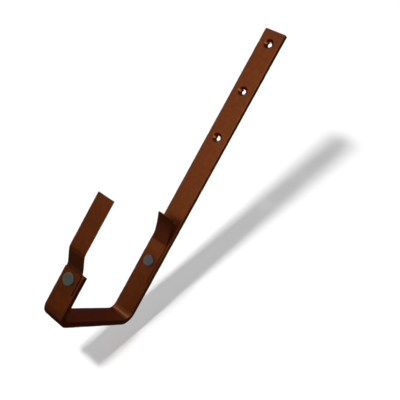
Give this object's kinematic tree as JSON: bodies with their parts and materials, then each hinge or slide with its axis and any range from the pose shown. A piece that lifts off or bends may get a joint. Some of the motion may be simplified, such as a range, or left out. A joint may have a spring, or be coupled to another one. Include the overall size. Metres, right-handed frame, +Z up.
{
  "type": "gutter bracket",
  "caption": "Bent flat-bar bracket for a square gutter, with a long countersunk fixing strap and riveted sheet clips for the gutter's front and back edges.",
  "frame": {"origin": "middle of the seat that the gutter's floor rests on, on its top face", "axes": "+Z up along the strap, +X from the strap towards the front arm, +Y along the gutter"},
  "size_m": [0.134, 0.025, 0.352],
  "materials": {
    "painted_bar": "satin brown powder coat with a fine grain",
    "painted_clip": "satin brown powder coat on thin sheet",
    "rivet": "dull grey zinc-plated steel, unpainted"
  },
  "bodies": {
    "root": {"bracket_bar": "painted_bar", "front_clip": "painted_clip", "rear_clip": "painted_clip", "front_rivet": "rivet", "rear_rivet": "rivet"}
  },
  "joints": []
}
